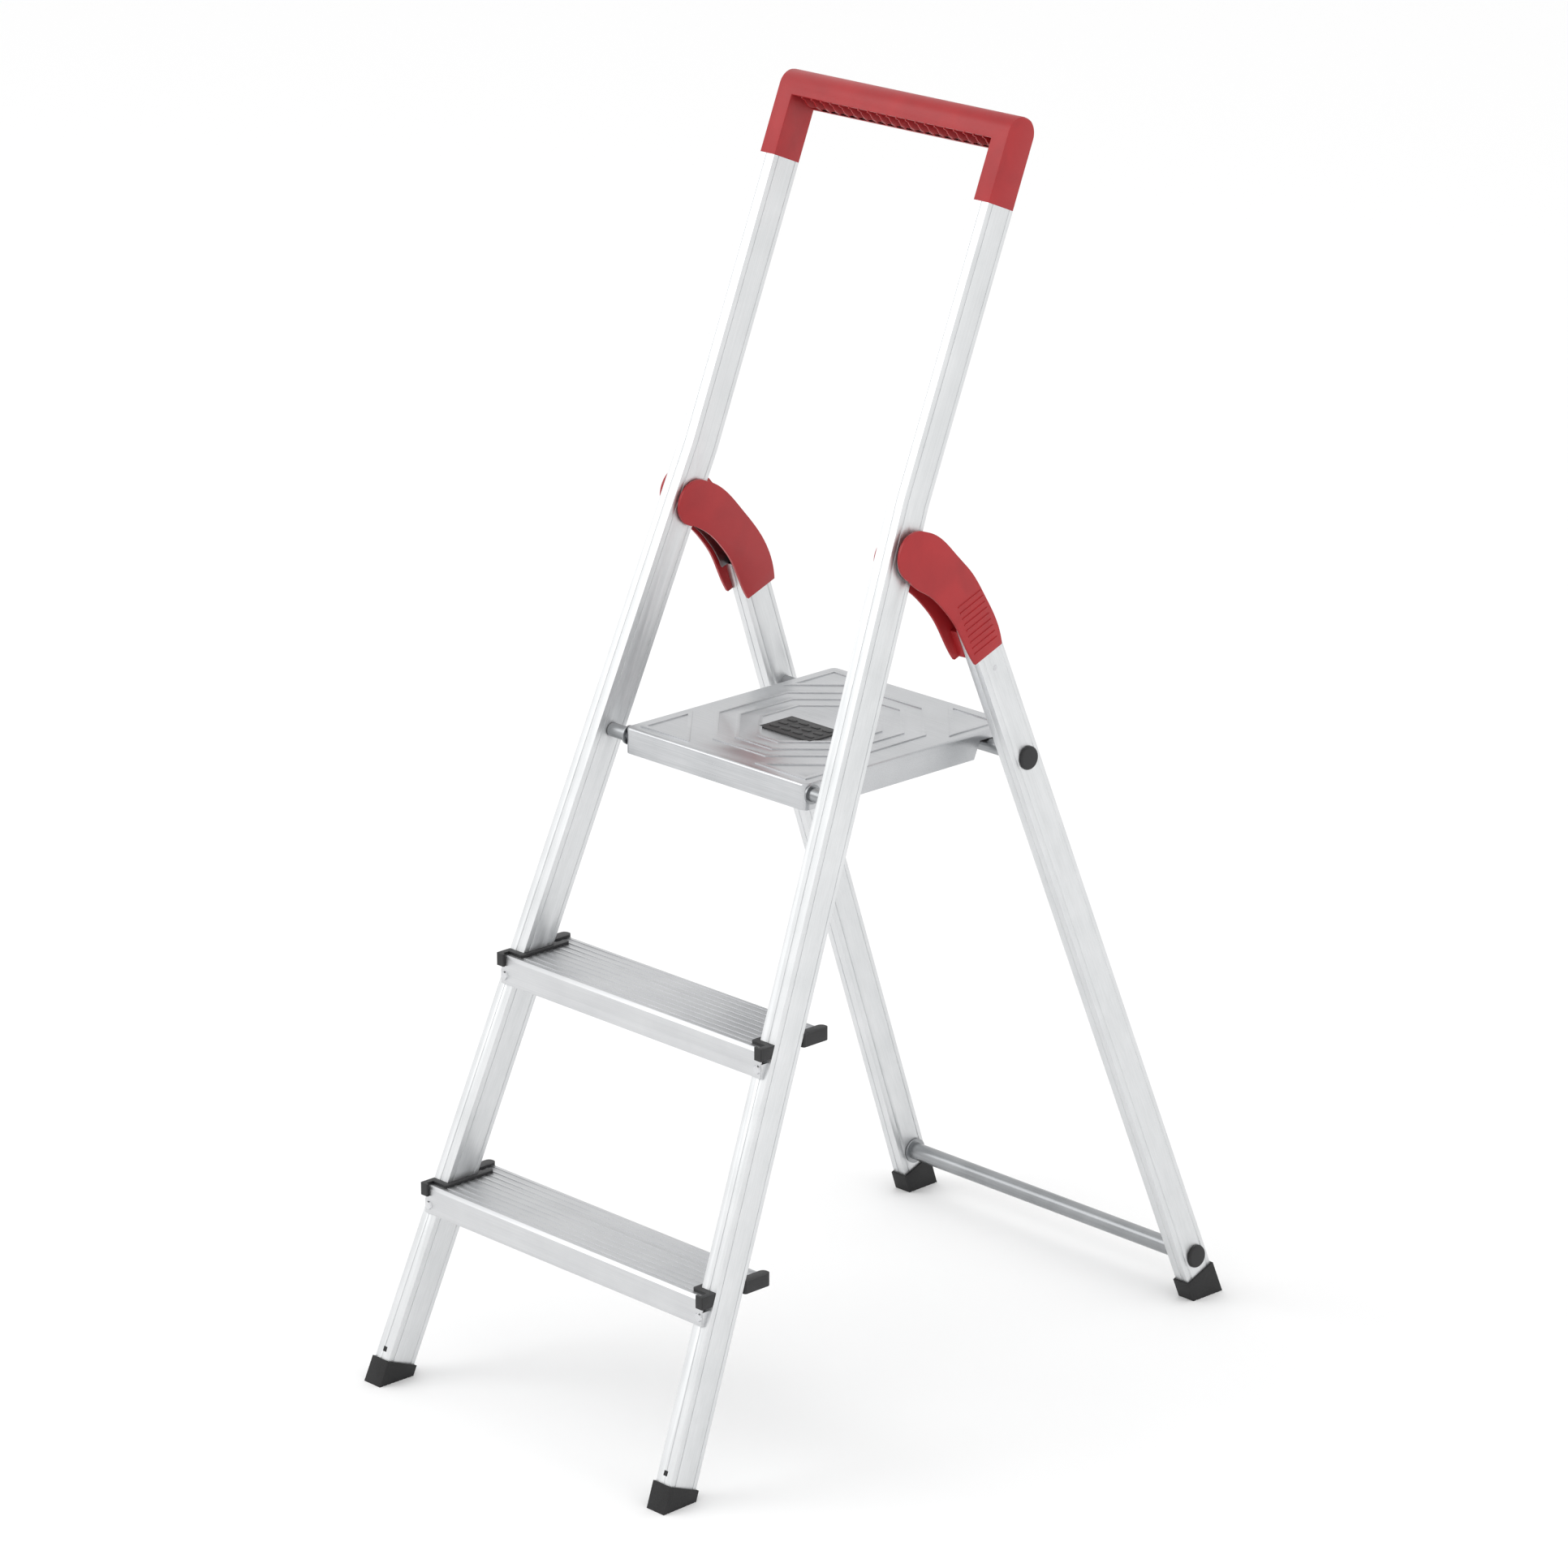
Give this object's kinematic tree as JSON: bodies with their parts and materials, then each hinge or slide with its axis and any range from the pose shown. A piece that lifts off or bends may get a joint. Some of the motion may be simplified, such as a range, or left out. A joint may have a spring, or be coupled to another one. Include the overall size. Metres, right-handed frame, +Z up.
{
  "type": "step ladder",
  "caption": "Folding aluminium step ladder with ribbed treads, a square platform that lifts up, rear legs on curved hinge arms, and a moulded U-shaped hand rail.",
  "frame": {"origin": "on the floor, under the middle of the footprint", "axes": "+Z up, +X to the climber's right, +Y from the front rails back to the rear legs"},
  "size_m": [0.429, 0.7693, 1.2307],
  "materials": {
    "anodised_rails": "satin clear anodised extrusion with fine drawn lines",
    "extruded_treads": "ribbed extrusion, satin",
    "brushed_platform": "brushed sheet, brighter on the pressed lines",
    "plated_rods": "zinc plated, satin",
    "rivet_steel": "plated, smooth",
    "red_plastic": "moulded polypropylene, satin",
    "black_plastic": "moulded, fine texture",
    "black_rubber": "moulded, matte"
  },
  "bodies": {
    "front_frame": {"hand_rail": "red_plastic", "hinge_pins": "rivet_steel", "left_front_foot": "black_rubber", "left_rail": "anodised_rails", "lower_tread": "extruded_treads", "lower_tread_trim_left": "black_plastic", "lower_tread_trim_right": "black_plastic", "platform_pivot_rod": "plated_rods", "platform_spacers": "plated_rods", "right_front_foot": "black_rubber", "right_rail": "anodised_rails", "tread_rivets": "rivet_steel", "upper_tread": "extruded_treads", "upper_tread_trim_left": "black_plastic", "upper_tread_trim_right": "black_plastic"},
    "rear_frame": {"left_rear_leg": "anodised_rails", "right_rear_leg": "anodised_rails", "left_hinge_arm": "plated_rods", "right_hinge_arm": "plated_rods", "left_hinge_cover": "red_plastic", "right_hinge_cover": "red_plastic", "hinge_rivets": "rivet_steel", "rear_rod": "plated_rods", "cross_tube": "plated_rods", "rear_rod_caps": "black_plastic", "cross_tube_caps": "black_plastic", "left_rear_foot": "black_rubber", "right_rear_foot": "black_rubber"},
    "platform_tray": {"platform": "brushed_platform", "platform_inlay": "black_plastic", "platform_hooks": "black_plastic"}
  },
  "joints": [
    {"name": "leg_fold", "type": "hinge", "parent": "front_frame", "child": "rear_frame", "pos_m": [0, -0.01217, 0.83708], "axis": [-1, 0, 0], "range_deg": [0, 41]},
    {"name": "platform_lift", "type": "hinge", "parent": "front_frame", "child": "platform_tray", "pos_m": [0, -0.10849, 0.61935], "axis": [1, 0, 0], "range_deg": [0, 65.8]}
  ],
  "couplings": [
    {"joint": "platform_lift", "follows": "leg_fold", "ratio": 1.6}
  ]
}
